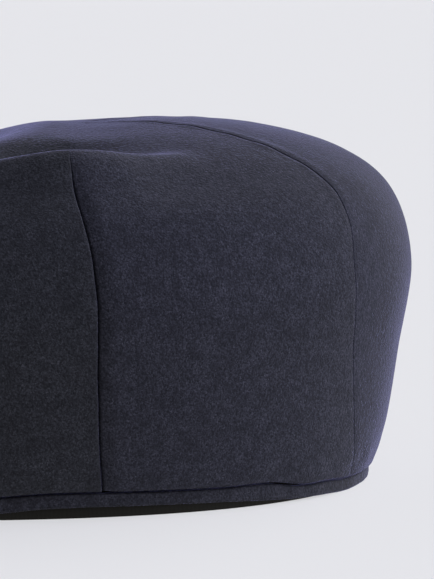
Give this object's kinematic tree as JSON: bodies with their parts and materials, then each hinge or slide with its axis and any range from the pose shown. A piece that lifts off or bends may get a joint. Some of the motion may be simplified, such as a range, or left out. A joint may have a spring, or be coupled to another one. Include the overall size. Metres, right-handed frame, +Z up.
{
  "type": "flat cap",
  "caption": "Soft wool flat cap: gored crown drawn in to a narrow hem band, a sweatband inside and a stiff bowed peak in front, resting on a table.",
  "frame": {"origin": "on the table under the middle of the cap's bounding box", "axes": "+Z up, -Y towards the peak, +X the wearer's left"},
  "size_m": [0.1962, 0.2792, 0.0916],
  "materials": {
    "wool_cloth": "brushed navy wool melton with a short nap, a soft sheen and lighter fibres",
    "band_tape": "matt black cotton tape"
  },
  "bodies": {
    "root": {"panel_back": "wool_cloth", "panel_rear_left": "wool_cloth", "panel_rear_right": "wool_cloth", "panel_side_left": "wool_cloth", "panel_side_right": "wool_cloth", "panel_front_left": "wool_cloth", "panel_front_right": "wool_cloth", "panel_front": "wool_cloth", "hem_band": "wool_cloth", "peak": "wool_cloth", "sweatband": "band_tape"}
  },
  "joints": []
}
